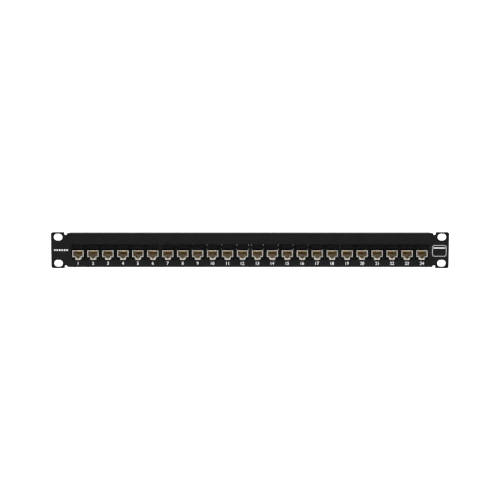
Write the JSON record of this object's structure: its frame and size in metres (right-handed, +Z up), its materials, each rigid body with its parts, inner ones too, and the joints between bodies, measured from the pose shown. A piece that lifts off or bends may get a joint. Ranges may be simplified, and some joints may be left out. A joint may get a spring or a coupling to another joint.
{
  "type": "patch panel",
  "caption": "Rack-mount patch panel one unit high: folded black steel face with rack slots, shielded eight-way sockets with release tabs, rear cable hoods, earth strip and cable bar.",
  "frame": {"origin": "centre of the four rack slots, on the rear mounting face of the ears", "axes": "+X to the right seen from the front, +Y to the rear, +Z up; the front faces -Y"},
  "size_m": [0.4826, 0.0821, 0.0441],
  "materials": {
    "powder_coated_steel": "satin black powder coat",
    "black_moulded_frame": "moulded ABS, fine spark texture",
    "black_pbt": "moulded PBT, fine matt",
    "nickel_plated_shield": "nickel-plated brass, bright",
    "gold_plated_bronze": "gold-plated phosphor bronze",
    "tinned_bronze": "tin-plated phosphor bronze",
    "zinc_plated_steel": "bright zinc plate",
    "zinc_die_cast": "nickel-plated die casting, satin",
    "amber_carrier": "moulded polyetherimide, natural amber",
    "board_laminate": "green solder mask",
    "white_polycarbonate": "moulded polycarbonate"
  },
  "bodies": {
    "root": {"panel_frame": "powder_coated_steel", "weld_studs": "zinc_plated_steel", "stud_nuts": "zinc_plated_steel", "ground_strip": "tinned_bronze", "ground_strip_rivets": "zinc_plated_steel", "earth_stud": "zinc_plated_steel", "earth_washer": "zinc_plated_steel", "earth_nut": "zinc_plated_steel", "cable_bar": "powder_coated_steel", "cable_bar_screws": "zinc_plated_steel", "contact_carriers": "amber_carrier", "circuit_boards": "board_laminate", "contact_wires": "gold_plated_bronze", "terminal_blades": "tinned_bronze", "outlet_frame_1": "black_moulded_frame", "outlet_housings_1": "black_pbt", "jack_shields_1": "nickel_plated_shield", "terminal_blocks_1": "white_polycarbonate", "rear_hoods_1": "zinc_die_cast", "outlet_frame_2": "black_moulded_frame", "outlet_housings_2": "black_pbt", "jack_shields_2": "nickel_plated_shield", "terminal_blocks_2": "white_polycarbonate", "rear_hoods_2": "zinc_die_cast", "outlet_frame_3": "black_moulded_frame", "outlet_housings_3": "black_pbt", "jack_shields_3": "nickel_plated_shield", "terminal_blocks_3": "white_polycarbonate", "rear_hoods_3": "zinc_die_cast", "outlet_frame_4": "black_moulded_frame", "outlet_housings_4": "black_pbt", "jack_shields_4": "nickel_plated_shield", "terminal_blocks_4": "white_polycarbonate", "rear_hoods_4": "zinc_die_cast"},
    "lever_01": {"latch_lever_01": "black_pbt"},
    "lever_02": {"latch_lever_02": "black_pbt"},
    "lever_03": {"latch_lever_03": "black_pbt"},
    "lever_04": {"latch_lever_04": "black_pbt"},
    "lever_05": {"latch_lever_05": "black_pbt"},
    "lever_06": {"latch_lever_06": "black_pbt"},
    "lever_07": {"latch_lever_07": "black_pbt"},
    "lever_08": {"latch_lever_08": "black_pbt"},
    "lever_09": {"latch_lever_09": "black_pbt"},
    "lever_10": {"latch_lever_10": "black_pbt"},
    "lever_11": {"latch_lever_11": "black_pbt"},
    "lever_12": {"latch_lever_12": "black_pbt"},
    "lever_13": {"latch_lever_13": "black_pbt"},
    "lever_14": {"latch_lever_14": "black_pbt"},
    "lever_15": {"latch_lever_15": "black_pbt"},
    "lever_16": {"latch_lever_16": "black_pbt"},
    "lever_17": {"latch_lever_17": "black_pbt"},
    "lever_18": {"latch_lever_18": "black_pbt"},
    "lever_19": {"latch_lever_19": "black_pbt"},
    "lever_20": {"latch_lever_20": "black_pbt"},
    "lever_21": {"latch_lever_21": "black_pbt"},
    "lever_22": {"latch_lever_22": "black_pbt"},
    "lever_23": {"latch_lever_23": "black_pbt"},
    "lever_24": {"latch_lever_24": "black_pbt"}
  },
  "joints": [
    {"name": "latch_01", "type": "hinge", "parent": "root", "child": "lever_01", "pos_m": [-0.20872, 0.02, 0.0026], "axis": [1, 0, 0], "range_deg": [0, 3.2], "stiffness_Nm_per_rad": 2},
    {"name": "latch_02", "type": "hinge", "parent": "root", "child": "lever_02", "pos_m": [-0.19057, 0.02, 0.0026], "axis": [1, 0, 0], "range_deg": [0, 3.2], "stiffness_Nm_per_rad": 2},
    {"name": "latch_03", "type": "hinge", "parent": "root", "child": "lever_03", "pos_m": [-0.17242, 0.02, 0.0026], "axis": [1, 0, 0], "range_deg": [0, 3.2], "stiffness_Nm_per_rad": 2},
    {"name": "latch_04", "type": "hinge", "parent": "root", "child": "lever_04", "pos_m": [-0.15427, 0.02, 0.0026], "axis": [1, 0, 0], "range_deg": [0, 3.2], "stiffness_Nm_per_rad": 2},
    {"name": "latch_05", "type": "hinge", "parent": "root", "child": "lever_05", "pos_m": [-0.13612, 0.02, 0.0026], "axis": [1, 0, 0], "range_deg": [0, 3.2], "stiffness_Nm_per_rad": 2},
    {"name": "latch_06", "type": "hinge", "parent": "root", "child": "lever_06", "pos_m": [-0.11797, 0.02, 0.0026], "axis": [1, 0, 0], "range_deg": [0, 3.2], "stiffness_Nm_per_rad": 2},
    {"name": "latch_07", "type": "hinge", "parent": "root", "child": "lever_07", "pos_m": [-0.09982, 0.02, 0.0026], "axis": [1, 0, 0], "range_deg": [0, 3.2], "stiffness_Nm_per_rad": 2},
    {"name": "latch_08", "type": "hinge", "parent": "root", "child": "lever_08", "pos_m": [-0.08167, 0.02, 0.0026], "axis": [1, 0, 0], "range_deg": [0, 3.2], "stiffness_Nm_per_rad": 2},
    {"name": "latch_09", "type": "hinge", "parent": "root", "child": "lever_09", "pos_m": [-0.06352, 0.02, 0.0026], "axis": [1, 0, 0], "range_deg": [0, 3.2], "stiffness_Nm_per_rad": 2},
    {"name": "latch_10", "type": "hinge", "parent": "root", "child": "lever_10", "pos_m": [-0.04537, 0.02, 0.0026], "axis": [1, 0, 0], "range_deg": [0, 3.2], "stiffness_Nm_per_rad": 2},
    {"name": "latch_11", "type": "hinge", "parent": "root", "child": "lever_11", "pos_m": [-0.02722, 0.02, 0.0026], "axis": [1, 0, 0], "range_deg": [0, 3.2], "stiffness_Nm_per_rad": 2},
    {"name": "latch_12", "type": "hinge", "parent": "root", "child": "lever_12", "pos_m": [-0.00907, 0.02, 0.0026], "axis": [1, 0, 0], "range_deg": [0, 3.2], "stiffness_Nm_per_rad": 2},
    {"name": "latch_13", "type": "hinge", "parent": "root", "child": "lever_13", "pos_m": [0.00907, 0.02, 0.0026], "axis": [1, 0, 0], "range_deg": [0, 3.2], "stiffness_Nm_per_rad": 2},
    {"name": "latch_14", "type": "hinge", "parent": "root", "child": "lever_14", "pos_m": [0.02722, 0.02, 0.0026], "axis": [1, 0, 0], "range_deg": [0, 3.2], "stiffness_Nm_per_rad": 2},
    {"name": "latch_15", "type": "hinge", "parent": "root", "child": "lever_15", "pos_m": [0.04537, 0.02, 0.0026], "axis": [1, 0, 0], "range_deg": [0, 3.2], "stiffness_Nm_per_rad": 2},
    {"name": "latch_16", "type": "hinge", "parent": "root", "child": "lever_16", "pos_m": [0.06352, 0.02, 0.0026], "axis": [1, 0, 0], "range_deg": [0, 3.2], "stiffness_Nm_per_rad": 2},
    {"name": "latch_17", "type": "hinge", "parent": "root", "child": "lever_17", "pos_m": [0.08167, 0.02, 0.0026], "axis": [1, 0, 0], "range_deg": [0, 3.2], "stiffness_Nm_per_rad": 2},
    {"name": "latch_18", "type": "hinge", "parent": "root", "child": "lever_18", "pos_m": [0.09982, 0.02, 0.0026], "axis": [1, 0, 0], "range_deg": [0, 3.2], "stiffness_Nm_per_rad": 2},
    {"name": "latch_19", "type": "hinge", "parent": "root", "child": "lever_19", "pos_m": [0.11797, 0.02, 0.0026], "axis": [1, 0, 0], "range_deg": [0, 3.2], "stiffness_Nm_per_rad": 2},
    {"name": "latch_20", "type": "hinge", "parent": "root", "child": "lever_20", "pos_m": [0.13612, 0.02, 0.0026], "axis": [1, 0, 0], "range_deg": [0, 3.2], "stiffness_Nm_per_rad": 2},
    {"name": "latch_21", "type": "hinge", "parent": "root", "child": "lever_21", "pos_m": [0.15427, 0.02, 0.0026], "axis": [1, 0, 0], "range_deg": [0, 3.2], "stiffness_Nm_per_rad": 2},
    {"name": "latch_22", "type": "hinge", "parent": "root", "child": "lever_22", "pos_m": [0.17242, 0.02, 0.0026], "axis": [1, 0, 0], "range_deg": [0, 3.2], "stiffness_Nm_per_rad": 2},
    {"name": "latch_23", "type": "hinge", "parent": "root", "child": "lever_23", "pos_m": [0.19057, 0.02, 0.0026], "axis": [1, 0, 0], "range_deg": [0, 3.2], "stiffness_Nm_per_rad": 2},
    {"name": "latch_24", "type": "hinge", "parent": "root", "child": "lever_24", "pos_m": [0.20872, 0.02, 0.0026], "axis": [1, 0, 0], "range_deg": [0, 3.2], "stiffness_Nm_per_rad": 2}
  ]
}
